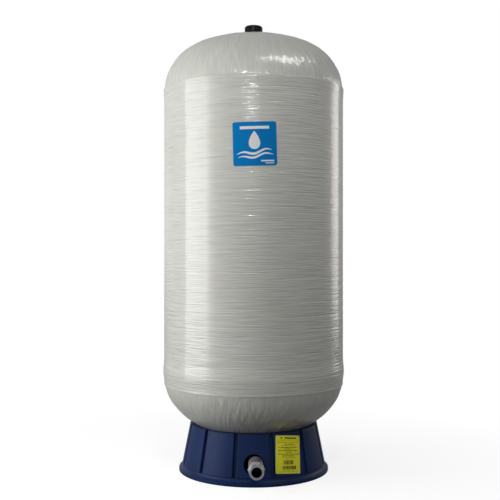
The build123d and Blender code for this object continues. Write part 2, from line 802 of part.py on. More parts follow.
side_x, side_y = heading(skirt_turn + side_sticker_azimuth)
side_sticker_height = (skirt_height + panel_foot_height) / 2 - side_sticker_drop
side_radius = rim_radius + (skirt_height - side_sticker_height) * sin(panel_lean) / cos(panel_lean)
side_plane = Plane(
    origin=(side_radius * side_x, side_radius * side_y, side_sticker_height),
    x_dir=(-side_y, side_x, 0),
    z_dir=(cos(panel_lean) * side_x, cos(panel_lean) * side_y, sin(panel_lean)),
)

with BuildPart() as side_sticker:
    with BuildSketch(side_plane):
        RectangleRounded(
            side_sticker_width, side_sticker_length, side_sticker_corner, rotation=side_sticker_tilt
        )
    extrude(amount=side_sticker_width / 2, both=True)
    with BuildSketch(Plane.XZ) as sticker_skin:
        with BuildLine():
            skin_back = sticker_glue / cos(panel_lean)
            skin_face = (sticker_glue + sticker_thickness) / cos(panel_lean)
            Polyline(
                (rim_radius + skin_back, skirt_height),
                (panel_foot_radius + skin_back, panel_foot_height),
                (panel_foot_radius + skin_face, panel_foot_height),
                (rim_radius + skin_face, skirt_height),
                close=True,
            )
        make_face()
    revolve(axis=Axis.Z, mode=Mode.INTERSECT)

# Each finished piece is named and written
pieces = {
    "composite_shell": composite_shell,
    "upper_liner": upper_liner,
    "lower_liner": lower_liner,
    "diaphragm": diaphragm,
    "clench_ring": clench_ring,
    "top_boss": top_boss,
    "top_boss_ring": top_boss_ring,
    "valve_stem": valve_stem,
    "stem_seal": stem_seal,
    "valve_core": valve_core,
    "valve_pin": valve_pin,
    "valve_pin_seal": valve_pin_seal,
    "valve_spring": valve_spring,
    "stem_cap": stem_cap,
    "stem_cap_washer": stem_cap_washer,
    "valve_cover": valve_cover,
    "cover_gasket": cover_gasket,
    "bottom_boss": bottom_boss,
    "bottom_boss_ring": bottom_boss_ring,
    "elbow_ring": elbow_ring,
    "water_elbow": water_elbow,
    "inlet_diffuser": inlet_diffuser,
    "base_skirt": base_skirt,
    "seat_bead": seat_bead,
    "front_sticker": front_sticker,
    "side_sticker": side_sticker,
}
for name, piece in pieces.items():
    piece.part.label = name
    export_step(piece.part, f"parts/{name}.step")
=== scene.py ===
import math

import bmesh
import bpy
import numpy as np
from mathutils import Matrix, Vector
from mathutils.bvhtree import BVHTree


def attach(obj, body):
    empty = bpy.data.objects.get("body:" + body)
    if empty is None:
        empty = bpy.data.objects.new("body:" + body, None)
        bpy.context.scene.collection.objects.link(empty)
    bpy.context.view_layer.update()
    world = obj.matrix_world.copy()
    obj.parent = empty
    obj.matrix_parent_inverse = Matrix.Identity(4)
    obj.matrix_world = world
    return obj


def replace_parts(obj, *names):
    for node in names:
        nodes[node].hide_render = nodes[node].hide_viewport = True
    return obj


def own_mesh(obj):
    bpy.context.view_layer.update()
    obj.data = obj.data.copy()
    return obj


# A fibre-wound water pressure tank on a blue moulded skirt. Metres and degrees, in the frame's own
# axes: the tank's axis is Z, the floor is at Z = 0 and the water pipe points along -Y.

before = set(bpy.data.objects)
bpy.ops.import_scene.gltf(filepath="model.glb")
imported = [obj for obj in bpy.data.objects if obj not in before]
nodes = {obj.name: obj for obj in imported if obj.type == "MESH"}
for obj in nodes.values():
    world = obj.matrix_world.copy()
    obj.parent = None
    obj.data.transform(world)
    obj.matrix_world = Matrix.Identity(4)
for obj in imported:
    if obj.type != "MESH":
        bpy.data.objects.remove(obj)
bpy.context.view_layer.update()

TAU = 2 * math.pi

# Camera, from the photograph
image_size = 500
focal_pixels = 870.0
sensor_width = 36.0
camera_distance = 2.640
camera_height = 0.660
camera_azimuth = -1.4
camera_aside = -0.0109

# Outside of the wound vessel
shell_radius = 0.270
shell_wall = 0.005
barrel_wall = 0.003
dome_radius = 0.2706
dome_inset = 0.0001
top_tangent = 1.133
knuckle_radius = 0.154
crown_radius = 0.472
top_neck_radius = 0.023
bottom_tangent = 0.279
bottom_depth = 0.1827
bottom_neck_radius = 0.031
hoop_top = 1.143
hoop_bottom = 0.257
hoop_bevel = 0.0015
lower_step = 0.0006
top_build_up = 0.0018
top_build_up_foot = 1.099
bottom_build_up = 0.0026
bottom_build_up_height = 0.299
bottom_build_up_head = 0.341
winding_lap = 0.012

# Meshes of the windings
barrel_columns = 96
barrel_row = 0.0009
dome_columns = 900
dome_row = 0.0052
inner_dome_row = 4 * dome_row

# Relief of the hoop winding, and the depths of its forms
bundle_pitch = 0.0062
band_pitch = 0.0131
groove_cut = 0.00055
lip_cut = 0.00050
fibre_cut = 0.00012
broad_cut = 0.00022
faint_side = 10.0
foot_fade = 0.04
edge_sway = 0.0026
edge_reach = 0.016

# Depths of the dome winding's forms
leaning_cut = 0.00105
crossing_cut = 0.00085
fine_cut = 0.00045
bundle_cut = 0.00050

# Water pipe, its thread and the dab of paint on it
pipe_height = 0.0597
pipe_radius = 0.021
pipe_reach = 0.296
pipe_bore_radius = 0.0145
# Where the bore gets painted shade: from this far out along the pipe, and to this margin past the
# bore's radius
bore_start = 0.03
bore_margin = 0.0003
end_face_depth = 0.0014
thread_radius = 0.02095
thread_length = 0.0235
thread_pitch = 0.00231
thread_depth = 0.00125
thread_steps = 48
cutter_margin = 0.0006
dab_angle = 22.0
dab_half_angle = 15.0
dab_middle = 0.2315
dab_half_length = 0.0085
dab_lifts = (0.00003, 0.00016)
dab_rows = 13
dab_columns = 15

# Stickers and the print on them
front_azimuth = -0.9
front_height = 0.950
front_tilt = 1.5
side_azimuth = 27.4
side_height = 0.0815
side_lean = 11.2
side_tilt = -6.2
side_width = 0.0795
side_length = 0.1055
print_lift = 0.00004
print_thickness = 0.00004
print_step = 0.006
outline_points = 49
drop_rings = (1.0, 0.66, 0.33, 0.02)
ray_length = 0.05
shortest_word = 0.0035
longest_word = 0.0100
least_word = 0.002
word_gap = 0.0016
least_stripe = 0.001
line_inset = 0.0009
line_width = 0.0012
line_shortening = 0.007

# Studio
mirrored_share = 0.3
world_low = 0.0
world_level = 0.66
world_high = 0.17
world_left = 1.30
world_right = 0.62
behind_share = 0.35
floor_size = 30.0
shade_edge = (0.200, 0.222)
white_from = (0.35, 1.1)
white = (1.0, 1.0, 1.0, 1.0)


# Helpers for nodes


def new_material(name):
    """A material with a plain shader, its tree and the shader."""
    made = bpy.data.materials.new(name)
    made.use_nodes = True
    tree = made.node_tree
    shader = tree.nodes["Principled BSDF"]
    return made, tree, shader


def set_inputs(tree, node, inputs):
    """Links a node's inputs to sockets, and sets constants on the inputs themselves."""
    for name, value in inputs.items():
        if isinstance(value, bpy.types.NodeSocket):
            tree.links.new(value, node.inputs[name])
        else:
            node.inputs[name].default_value = value


def add_node(tree, kind, inputs=None, **settings):
    node = tree.nodes.new(kind)
    for name, value in settings.items():
        setattr(node, name, value)
    set_inputs(tree, node, inputs or {})
    return node


def math_node(tree, operation, first, second):
    return add_node(tree, "ShaderNodeMath", {0: first, 1: second}, operation=operation).outputs[0]


def vector_node(tree, operation, *vectors, output="Vector"):
    inputs = dict(enumerate(vectors))
    return add_node(tree, "ShaderNodeVectorMath", inputs, operation=operation).outputs[output]


def map_range(tree, value, low=0.0, high=1.0, new_low=0.0, new_high=1.0):
    inputs = {"Value": value, "From Min": low, "From Max": high}
    inputs.update({"To Min": new_low, "To Max": new_high})
    return add_node(tree, "ShaderNodeMapRange", inputs).outputs[0]


def object_coordinates(tree, squeeze=1.0):
    """The object's own coordinates, with the pattern squeezed along Z."""
    inputs = {"Vector": add_node(tree, "ShaderNodeTexCoord").outputs["Object"]}
    inputs["Scale"] = (1.0, 1.0, squeeze)
    return add_node(tree, "ShaderNodeMapping", inputs).outputs["Vector"]


def noise(tree, vector, scale, detail, roughness):
    inputs = {"Vector": vector, "Scale": scale, "Detail": detail, "Roughness": roughness}
    return add_node(tree, "ShaderNodeTexNoise", inputs).outputs["Fac"]


def ramp(tree, factor, stops):
    """A colour ramp through (position, colour) stops."""
    node = add_node(tree, "ShaderNodeValToRGB", {"Fac": factor})
    elements = node.color_ramp.elements
    while len(elements) < len(stops):
        elements.new(0.5)
    for element, (position, colour) in zip(elements, stops):
        element.position = position
        element.color = (*colour, 1.0)
    return node.outputs["Color"]


def bump(tree, height, distance, strength, normal=None):
    inputs = {"Height": height, "Distance": distance, "Strength": strength}
    if normal is not None:
        inputs["Normal"] = normal
    return add_node(tree, "ShaderNodeBump", inputs).outputs["Normal"]


def mix_shader(tree, share, first, second):
    inputs = {0: share, 1: first.outputs[0], 2: second.outputs[0]}
    return add_node(tree, "ShaderNodeMixShader", inputs)


def scaled(colour, share):
    """A colour made darker or lighter, at most white."""
    return tuple(min(1.0, share * channel) for channel in colour)


# Helpers for relief


def smoothstep(share):
    share = np.clip(share, 0, 1)
    return share * share * (3 - 2 * share)


def lattice_noise(seed, turn, rise, around, cell):
    """Smooth noise from 0 to 1, with a number of cells around one turn and a cell's height."""
    table_height = 700
    table = np.random.default_rng(seed).random((table_height, around))
    column = (turn % 1.0) * around
    row = rise / cell + 5
    left = np.floor(column).astype(int)
    low = np.floor(row).astype(int)
    across = smoothstep(column - left)
    up = smoothstep(row - low)
    left, right = left % around, (left + 1) % around
    low, high = low % table_height, (low + 1) % table_height
    bottom = table[low, left] * (1 - across) + table[low, right] * across
    top = table[high, left] * (1 - across) + table[high, right] * across
    return bottom * (1 - up) + top * up


def ridged(values):
    """Turns smooth noise into rounded ridges with narrow grooves between them."""
    return 1 - np.abs(2 * values - 1) ** 0.8


# Helpers for meshes


def link_object(name, data):
    made = bpy.data.objects.new(name, data)
    bpy.context.scene.collection.objects.link(made)
    return made


def shade_smooth(mesh, sharp_angle):
    """Smooth shading, but for edges that turn by more than an angle in degrees."""
    mesh.polygons.foreach_set("use_smooth", [True] * len(mesh.polygons))
    mesh.set_sharp_from_angle(angle=math.radians(sharp_angle))
    mesh.update()


def make_object(name, vertices, faces, material, sharp_angle=40):
    mesh = bpy.data.meshes.new(name)
    mesh.from_pydata([tuple(v) for v in vertices], [], [tuple(f) for f in faces])
    mesh.materials.append(material)
    shade_smooth(mesh, sharp_angle)
    return link_object(name, mesh)


def face_outward(mesh):
    """Turns all faces of a closed mesh outward."""
    turned = bmesh.new()
    turned.from_mesh(mesh)
    bmesh.ops.recalc_face_normals(turned, faces=turned.faces)
    turned.to_mesh(mesh)
    turned.free()


def plate_faces(rows, columns, base=0):
    """Faces of a thin closed plate, whose vertices are a lower grid and then an upper one."""
    count = rows * columns
    faces = []
    for row in range(rows - 1):
        for column in range(columns - 1):
            first = base + row * columns + column
            ring = (first, first + 1, first + columns + 1, first + columns)
            faces.append([count + corner for corner in ring])
            faces.append(list(reversed(ring)))
    edge = list(range(columns))
    edge += [row * columns + columns - 1 for row in range(1, rows)]
    edge += [(rows - 1) * columns + column for column in range(columns - 2, -1, -1)]
    edge += [row * columns for row in range(rows - 2, 0, -1)]
    for first, second in zip(edge, edge[1:] + edge[:1]):
        lower, following = base + first, base + second
        faces.append((lower, following, count + following, count + lower))
    return faces


# Materials


def wound_material(name, along_hoops):
    """Clear resin over white glass fibre. The fibres run round the barrel or over a dome."""
    made, tree, shader = new_material(name)
    if along_hoops:
        fibres = object_coordinates(tree, 20.0)
        fine = noise(tree, fibres, 11.0, 2.0, 0.6)
        broad = noise(tree, fibres, 4.5, 2.0, 0.5)
    else:
        where = add_node(tree, "ShaderNodeTexCoord").outputs["Object"]
        ring = vector_node(tree, "NORMALIZE", vector_node(tree, "MULTIPLY", where, (1.0, 1.0, 0.0)))
        rise = vector_node(tree, "MULTIPLY", where, (0.0, 0.0, 0.30))
        fibres = vector_node(tree, "ADD", ring, rise)
        fine = noise(tree, fibres, 62.0, 4.0, 0.62)
        broad = noise(tree, fibres, 18.0, 3.0, 0.5)
    cloud = noise(tree, object_coordinates(tree), 5.0, 2.0, 0.5)
    shades = [(0.28, (0.49, 0.485, 0.45)), (0.42, (0.57, 0.57, 0.54)), (0.70, (0.63, 0.63, 0.60))]
    tints = [(0.3, (0.97, 0.97, 0.94)), (0.7, (1.0, 1.0, 1.0))]
    layers = {0: 1.0, 6: ramp(tree, fine, shades), 7: ramp(tree, cloud, tints)}
    mixed = add_node(tree, "ShaderNodeMix", layers, data_type="RGBA", blend_type="MULTIPLY")
    normal = bump(tree, fine, 0.0014, 0.9, bump(tree, broad, 0.0006, 0.7))
    finish = {
        "Base Color": mixed.outputs[2],
        "Roughness": map_range(tree, broad, new_low=0.34, new_high=0.52),
        "Specular IOR Level": 0.4,
        "Coat Weight": 0.7,
        "Coat Roughness": 0.08,
        "Normal": normal,
        "Coat Normal": normal,
    }
    set_inputs(tree, shader, finish)
    return made


def moulded_material(name, colour, roughness, grain=0.00006, grain_scale=900.0, shine=0.5):
    """Moulded plastic: faint flow marks in the colour, fine grain and slightly uneven gloss."""
    made, tree, shader = new_material(name)
    even = object_coordinates(tree)
    flow = noise(tree, even, 9.0, 3.0, 0.55)
    fine = noise(tree, even, grain_scale, 2.0, 0.6)
    finish = {
        "Base Color": ramp(tree, flow, [(0.3, scaled(colour, 0.86)), (0.7, scaled(colour, 1.12))]),
        "Roughness": map_range(tree, flow, new_low=roughness * 0.85, new_high=roughness * 1.2),
        "Specular IOR Level": shine,
        "Normal": bump(tree, fine, grain, 0.7),
    }
    set_inputs(tree, shader, finish)
    return made


def cast_material(name):
    """Grey cast metal: a rough skin in cloudy shades of grey."""
    made, tree, shader = new_material(name)
    even = object_coordinates(tree)
    pits = noise(tree, even, 420.0, 4.0, 0.6)
    cloud = noise(tree, even, 60.0, 3.0, 0.5)
    finish = {
        "Base Color": ramp(tree, cloud, [(0.3, (0.26, 0.265, 0.285)), (0.7, (0.40, 0.405, 0.43))]),
        "Metallic": 0.45,
        "Roughness": map_range(tree, pits, new_low=0.38, new_high=0.62),
        "Normal": bump(tree, pits, 0.00035, 0.6),
    }
    set_inputs(tree, shader, finish)
    return made


def metal_material(name, colour, roughness):
    """Turned metal with fine tool marks round its axis."""
    made, tree, shader = new_material(name)
    marks = noise(tree, object_coordinates(tree, 30.0), 220.0, 2.0, 0.5)
    finish = {
        "Base Color": ramp(tree, marks, [(0.35, scaled(colour, 0.85)), (0.65, colour)]),
        "Metallic": 1.0,
        "Roughness": roughness,
        "Normal": bump(tree, marks, 0.00005, 0.6),
    }
    set_inputs(tree, shader, finish)
    return made


def print_material(name, colour, roughness=0.32):
    """Printed film: nearly even colour with faint print mottle, and slight wrinkles."""
    made, tree, shader = new_material(name)
    mottle = noise(tree, object_coordinates(tree), 260.0, 2.0, 0.6)
    wrinkle = noise(tree, object_coordinates(tree, 6.0), 30.0, 2.0, 0.5)
    finish = {
        "Base Color": ramp(tree, mottle, [(0.35, scaled(colour, 0.94)), (0.65, colour)]),
        "Roughness": roughness,
        "Specular IOR Level": 0.05,
        "Normal": bump(tree, wrinkle, 0.0003, 0.35),
    }
    set_inputs(tree, shader, finish)
    return made


hoop_finish = wound_material("wound_hoops", True)
dome_finish = wound_material("wound_dome", False)
skirt_finish = moulded_material("skirt_blue", (0.0065, 0.0215, 0.087), 0.40, 0.00005, 700.0, 0.11)
cover_finish = moulded_material("cover_black", (0.0028, 0.0028, 0.0032), 0.28, shine=0.10)
cap_finish = moulded_material("cap_black", (0.016, 0.016, 0.017), 0.45)
rubber_finish = moulded_material("black_rubber", (0.014, 0.014, 0.015), 0.62, 0.00008, 500.0)
adhesive_finish = moulded_material("black_adhesive", (0.012, 0.012, 0.014), 0.5, 0.0003, 120.0)
liner_finish = moulded_material("liner_white", (0.72, 0.73, 0.70), 0.42)
boss_finish = moulded_material("boss_black", (0.02, 0.02, 0.022), 0.5, 0.0001, 600.0)
pipe_finish = cast_material("cast_grey")
# Painted shade: near black on the metal pipe's bore, where the inside only lies in shade
painted_shade_bore = moulded_material("bore_painted_shade", (0.006, 0.006, 0.0065), 0.6, 0.0003, 300.0, 0.1)
machined_finish = metal_material("machined_end", (0.44, 0.45, 0.47), 0.34)
steel_finish = metal_material("turned_steel", (0.56, 0.57, 0.57), 0.3)
brass_finish = metal_material("turned_brass", (0.75, 0.56, 0.24), 0.28)
blue_finish = print_material("sticker_blue", (0.001, 0.21, 0.58))
yellow_finish = print_material("sticker_yellow", (0.96, 0.92, 0.045))
white_ink = print_material("white_ink", (0.86, 0.88, 0.90))
dark_ink = print_material("dark_ink", (0.050, 0.050, 0.022))
faint_ink = print_material("faint_ink", (0.42, 0.40, 0.03))
pale_ink = print_material("pale_ink", (0.78, 0.76, 0.35))
red_paint = print_material("red_paint", (0.40, 0.035, 0.05), 0.4)

rubber_nodes = (
    "diaphragm", "top_boss_ring", "stem_seal", "valve_pin_seal",
    "stem_cap_washer", "cover_gasket", "bottom_boss_ring", "elbow_ring",
)
finishes = (
    (hoop_finish, ("composite_shell",)),
    (liner_finish, ("upper_liner", "lower_liner")),
    (rubber_finish, rubber_nodes),
    (boss_finish, ("top_boss", "inlet_diffuser")),
    (steel_finish, ("clench_ring", "bottom_boss", "valve_spring")),
    (brass_finish, ("valve_stem", "valve_core", "valve_pin")),
    (cap_finish, ("stem_cap",)),
    (cover_finish, ("valve_cover",)),
    (pipe_finish, ("water_elbow",)),
    (skirt_finish, ("base_skirt",)),
    (adhesive_finish, ("seat_bead",)),
    (blue_finish, ("front_sticker",)),
    (yellow_finish, ("side_sticker",)),
)
for finish, finished in finishes:
    for name in finished:
        slots = nodes[name].data.materials
        slots.clear()
        slots.append(finish)


# Sections of the vessel, as points (radius, height)


def arc_points(centre, radius, start, stop, step):
    """Points along a circular arc, between two angles in radians."""
    count = max(2, int(round(abs(stop - start) * radius / step)))
    turn = np.linspace(start, stop, count + 1)
    return np.column_stack((centre[0] + radius * np.cos(turn), centre[1] + radius * np.sin(turn)))


def line_points(start, stop, step):
    start, stop = np.array(start), np.array(stop)
    count = max(1, int(round(np.linalg.norm(stop - start) / step)))
    share = np.linspace(0, 1, count + 1)[:, None]
    return start * (1 - share) + stop * share


def ease_points(start, stop, step):
    """A swell that leaves and meets the barrel upright."""
    points = line_points(start, stop, step)
    share = (points[:, 1] - start[1]) / (stop[1] - start[1])
    points[:, 0] = start[0] + (stop[0] - start[0]) * smoothstep(share)
    return points


def chain(*runs):
    """Joins runs of points end to end, each shared end kept once."""
    joined = [runs[0]]
    for run in runs[1:]:
        joined.append(run[1:] if np.allclose(joined[-1][-1], run[0]) else run)
    return np.vstack(joined)


knuckle_centre = dome_radius - knuckle_radius
crown_turn = math.acos(knuckle_centre / (crown_radius - knuckle_radius))
crown_centre_height = top_tangent - (crown_radius - knuckle_radius) * math.sin(crown_turn)


def top_section(inset, low_height, step):
    """Top dome's section at an inset, from a height on its knuckle up to the neck."""
    knuckle = knuckle_radius - inset
    start = math.asin((low_height - top_tangent) / knuckle)
    crown = crown_radius - inset
    neck_turn = math.acos(top_neck_radius / crown)
    return chain(
        arc_points((knuckle_centre, top_tangent), knuckle, start, crown_turn, step),
        arc_points((0, crown_centre_height), crown, crown_turn, neck_turn, step),
    )


def bottom_section(inset, high_height, step):
    """Bottom dome's section at an inset, from a height under the barrel down to the neck."""
    across, depth = dome_radius - inset, bottom_depth - inset
    start = math.asin((bottom_tangent - high_height) / depth)
    stop = math.acos(bottom_neck_radius / across)
    count = int(round((stop - start) * (across + depth) / 2 / step))
    turn = np.linspace(start, stop, count + 1)
    return np.column_stack((across * np.cos(turn), bottom_tangent - depth * np.sin(turn)))


def section_normals(section):
    """Outward normals at a section's points."""
    along = np.gradient(section, axis=0)
    along /= np.linalg.norm(along, axis=1)[:, None]
    normals = np.column_stack((along[:, 1], -along[:, 0]))
    middle = np.array((0.0, (top_tangent + bottom_tangent) / 2))
    outward = np.sum(normals * (section - middle), axis=1)
    normals[outward < 0] *= -1
    return normals


def walked_length(section):
    """Length along a section, from its first point to each of its points."""
    steps = np.linalg.norm(np.diff(section, axis=0), axis=1)
    return np.concatenate(([0], np.cumsum(steps)))


# Windings of the vessel


def wound_piece(name, outer, inner, columns, relief, material, sway=None):
    """A closed ring of the vessel's wall: outer section with relief, inner section without."""
    normals = section_normals(outer)
    turn = (np.arange(columns) / columns)[:, None]
    depth = relief(turn, outer)
    radius = outer[:, 0] - depth * normals[:, 0]
    height = outer[:, 1] - depth * normals[:, 1]
    if sway is not None:
        height = height + sway(turn, outer)
    radius = np.hstack((radius, np.repeat(inner[None, ::-1, 0], columns, axis=0)))
    height = np.hstack((height, np.repeat(inner[None, ::-1, 1], columns, axis=0)))
    angle = turn * TAU
    vertices = np.stack((radius * np.cos(angle), radius * np.sin(angle), height), axis=2)
    index = np.arange(radius.size).reshape(radius.shape)
    beside = np.roll(index, -1, axis=0)
    corners = (index, beside, np.roll(beside, -1, axis=1), np.roll(index, -1, axis=1))
    faces = np.stack(corners, axis=2).reshape(-1, 4)
    made = make_object(name, vertices.reshape(-1, 3).tolist(), faces.tolist(), material, 50)
    face_outward(made.data)
    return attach(made, "tank")


def hoop_relief(turn, section):
    """Depth of the hoop winding: level bundles with grooves between them, that waver a little."""
    height = section[:, 1]
    waver = 0.008 * (lattice_noise(11, turn, height, 7, 0.15) - 0.5)
    waver += 0.005 * (lattice_noise(12, turn, height, 19, 0.05) - 0.5)
    level = height + waver
    place = (level + 0.0030 * lattice_noise(18, turn, level, 1, 0.017)) / bundle_pitch
    number = np.round(place)
    groove = (1 - 2 * np.abs(place - number)) ** 2.2
    groove_share = smoothstep(1.7 * lattice_noise(15, turn, number, 26, 1.0) - 0.25)
    band = level / band_pitch
    band_number = np.floor(band)
    lip = smoothstep((band - band_number) / 0.17) * (1 - band + band_number)
    lip_share = smoothstep(1.9 * lattice_noise(19, turn, band_number, 13, 1.0) - 0.55)
    broad = lattice_noise(14, turn, level, 11, 0.021)
    fibres = ridged(lattice_noise(16, turn, level, 24, 0.0050))
    patch = 0.50 + 0.6 * lattice_noise(13, turn, height, 8, 0.06)
    patch *= 0.78 + 0.22 * np.cos(TAU * turn - math.radians(faint_side))
    patch *= 0.5 + 0.5 * smoothstep((height - hoop_bottom) / foot_fade)
    lines = groove_cut * groove_share * groove + lip_cut * lip_share * lip + fibre_cut * fibres
    return broad_cut * broad + patch * lines


def hoop_sway(turn, section):
    """How far the winding's ragged top and bottom edges rise or drop."""
    height = section[:, 1]
    share = lattice_noise(31, turn, 0.0, 46, 1.0) + 0.5 * lattice_noise(32, turn, 0.0, 110, 1.0)
    near_top = smoothstep((height - (hoop_top - edge_reach)) / edge_reach)
    near_bottom = smoothstep(((hoop_bottom + edge_reach) - height) / edge_reach)
    return edge_sway * ((share - 1.1) * near_top + 0.35 * (share - 0.7) * near_bottom)


def dome_relief(turn, section):
    """Depth of the dome winding's grooves: fibres that run to the neck and cross a little."""
    length = walked_length(section)
    leaning = ridged(lattice_noise(21, turn + 0.20 * length, length, 130, 0.070))
    crossing = ridged(lattice_noise(22, turn - 0.18 * length, length, 96, 0.060))
    fine = ridged(lattice_noise(25, turn + 0.08 * length, length, 290, 0.055))
    bundles = lattice_noise(23, turn + 0.10 * length, length, 60, 0.11)
    patch = 0.45 + 0.9 * lattice_noise(24, turn, length, 16, 0.07)
    lines = leaning_cut * leaning + crossing_cut * crossing + fine_cut * fine
    return patch * lines + bundle_cut * bundles


top_edge = top_section(0, hoop_top, dome_row)[0]
bottom_edge = bottom_section(0, hoop_bottom, dome_row)[0]
top_bevel = (shell_radius + top_build_up, hoop_top - hoop_bevel)
top_foot = (shell_radius, top_build_up_foot)
bottom_head = (shell_radius, bottom_build_up_head)
bottom_swell = (shell_radius + bottom_build_up, bottom_build_up_height)
bottom_bevel = (bottom_edge[0] + lower_step, hoop_bottom + hoop_bevel)
barrel_outer = chain(
    line_points(top_edge, top_bevel, barrel_row),
    ease_points(top_bevel, top_foot, barrel_row),
    line_points(top_foot, bottom_head, barrel_row),
    ease_points(bottom_head, bottom_swell, barrel_row),
    ease_points(bottom_swell, bottom_bevel, barrel_row),
    line_points(bottom_bevel, bottom_edge, barrel_row),
)
barrel_inside = dome_radius - barrel_wall - shell_wall / 2
barrel_inner = np.array(
    (
        (top_edge[0] - barrel_wall, hoop_top),
        (barrel_inside, top_tangent),
        (barrel_inside, bottom_tangent),
        (bottom_edge[0] - barrel_wall, hoop_bottom),
    )
)
hoop_winding = wound_piece(
    "hoop_winding", barrel_outer, barrel_inner, barrel_columns, hoop_relief, hoop_finish, hoop_sway
)
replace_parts(hoop_winding, "composite_shell")

for name, dome_section, edge_height in (
    ("top_dome_winding", top_section, hoop_top - winding_lap),
    ("bottom_dome_winding", bottom_section, hoop_bottom + winding_lap),
):
    dome_outer = dome_section(dome_inset, edge_height, dome_row)
    dome_inner = dome_section(shell_wall, edge_height, inner_dome_row)
    wound_piece(name, dome_outer, dome_inner, dome_columns, dome_relief, dome_finish)


# Print on the stickers: thin shapes laid on the sticker's own surface


class Sheet:
    """A sticker's face, on which flat places (right, up) from its middle become points."""

    def __init__(self, node, azimuth, height, lean, tilt):
        mesh = nodes[node].data
        corners = [vertex.co for vertex in mesh.vertices]
        self.tree = BVHTree.FromPolygons(corners, [tuple(face.vertices) for face in mesh.polygons])
        turn, lean, tilt = math.radians(azimuth), math.radians(lean), math.radians(tilt)
        level = Vector((math.sin(turn), -math.cos(turn), 0))
        self.out = level * math.cos(lean) + Vector((0, 0, math.sin(lean)))
        across = Vector((-level.y, level.x, 0))
        upward = self.out.cross(across)
        self.right = across * math.cos(tilt) + upward * math.sin(tilt)
        self.up = self.out.cross(self.right)
        start = Vector((0, 0, height)) + level
        self.middle = self.tree.ray_cast(start, -level)[0]

    def place(self, right, up, lift):
        start = self.middle + self.right * right + self.up * up + self.out * ray_length
        hit = self.tree.ray_cast(start, -self.out)
        return hit[0] + self.out * lift


def printed(name, sheet, grids, material):
    """Thin closed plates from grids of flat places, laid on a sheet."""
    vertices, faces = [], []
    for grid in grids:
        faces += plate_faces(len(grid), len(grid[0]), len(vertices))
        for lift in (print_lift, print_lift + print_thickness):
            for row in grid:
                vertices += [sheet.place(right, up, lift) for right, up in row]
    made = make_object(name, vertices, faces, material)
    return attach(made, "tank")


def bar(middle_right, middle_up, width, height):
    """A plain bar as a grid of places."""
    columns = max(2, int(math.ceil(width / print_step)) + 1)
    rights = np.linspace(middle_right - width / 2, middle_right + width / 2, columns)
    rows = max(2, int(math.ceil(height / print_step)) + 1)
    ups = np.linspace(middle_up - height / 2, middle_up + height / 2, rows)
    return [[(right, up) for right in rights] for up in ups]


def wave(start, stop, height, swing, waves, phase):
    """A ribbon that swings up and down and thins out to its ends."""
    share = np.linspace(0, 1, outline_points)
    rights = start[0] + (stop[0] - start[0]) * share
    middle = start[1] + (stop[1] - start[1]) * share + swing * np.sin(TAU * (waves * share + phase))
    half = height / 2 * np.sin(math.pi * np.clip(share, 0.02, 0.98)) ** 0.6
    return [list(zip(rights, middle - half)), list(zip(rights, middle + half))]


def drop(middle, width, height):
    """A water drop with a pointed top, as rings from its edge to its middle."""
    rings = []
    for share in drop_rings:
        ring = []
        for turn in np.linspace(0, TAU, outline_points):
            narrow = (1 - math.sin(turn)) ** 0.5 * 0.72
            right = middle[0] + share * width / 2 * math.cos(turn) * narrow
            up = middle[1] + share * height / 2 * math.sin(turn)
            ring.append((right, up))
        rings.append(ring)
    return rings


front_sheet = Sheet("front_sticker", front_azimuth, front_height, 0.0, front_tilt)
front_shapes = [
    bar(0.0, 0.0440, 0.080, 0.0080),
    bar(0.034, -0.0470, 0.036, 0.0042),
    bar(0.040, -0.0535, 0.024, 0.0022),
    wave((-0.050, -0.0290), (0.046, -0.0170), 0.0070, 0.0042, 1.5, 0.0),
    wave((-0.046, -0.0395), (0.050, -0.0275), 0.0060, 0.0038, 1.5, 0.1),
    drop((-0.001, 0.0100), 0.040, 0.050),
]
printed("front_print", front_sheet, front_shapes, white_ink)

side_sheet = Sheet("side_sticker", side_azimuth, side_height, side_lean, side_tilt)
draw = np.random.default_rng(5)
dark_shapes = [bar(-0.0224, 0.0458, 0.0050, 0.0044), bar(0.0072, 0.0452, 0.0390, 0.0036)]
faint_shapes = [bar(0.0, 0.0396, 0.0755, 0.0011), bar(0.0, -0.0478, 0.0640, 0.0012)]

# Rows of short bars: middle height, first and last place, height of a bar, and its shade
word_rows = (
    (0.0335, -0.0345, 0.0355, 0.0018, faint_shapes),
    (0.0282, -0.0130, 0.0185, 0.0016, dark_shapes),
    (0.0240, -0.0215, 0.0245, 0.0016, faint_shapes),
    (0.0195, -0.0300, 0.0300, 0.0018, dark_shapes),
    (0.0152, -0.0125, 0.0145, 0.0016, dark_shapes),
    (0.0106, -0.0320, 0.0305, 0.0020, dark_shapes),
    (0.0062, -0.0100, 0.0108, 0.0016, dark_shapes),
    (0.0010, -0.0335, 0.0365, 0.0020, dark_shapes),
    (-0.0040, -0.0187, 0.0207, 0.0018, dark_shapes),
    (-0.0085, -0.0200, 0.0240, 0.0016, faint_shapes),
    (-0.0130, -0.0090, 0.0120, 0.0014, faint_shapes),
    (-0.0445, -0.0170, 0.0200, 0.0014, faint_shapes),
)
for middle, start, stop, height, shapes in word_rows:
    place = start
    while place < stop - least_word:
        word = min(draw.uniform(shortest_word, longest_word), stop - place)
        shapes.append(bar(place + word / 2, middle, word, height))
        place += word + word_gap

# Rows of upright stripes: middle height, first and last place, height of a stripe
stripe_rows = ((-0.0219, -0.0157, 0.0182, 0.0115), (-0.0361, -0.0187, 0.0225, 0.0100))
for middle, start, stop, height in stripe_rows:
    place = start
    while place < stop - least_stripe:
        wide = draw.choice((0.0014, 0.0024, 0.0034))
        dark_shapes.append(bar(place + wide / 2, middle, wide, height))
        place += wide + draw.choice((0.0008, 0.0012, 0.0016))

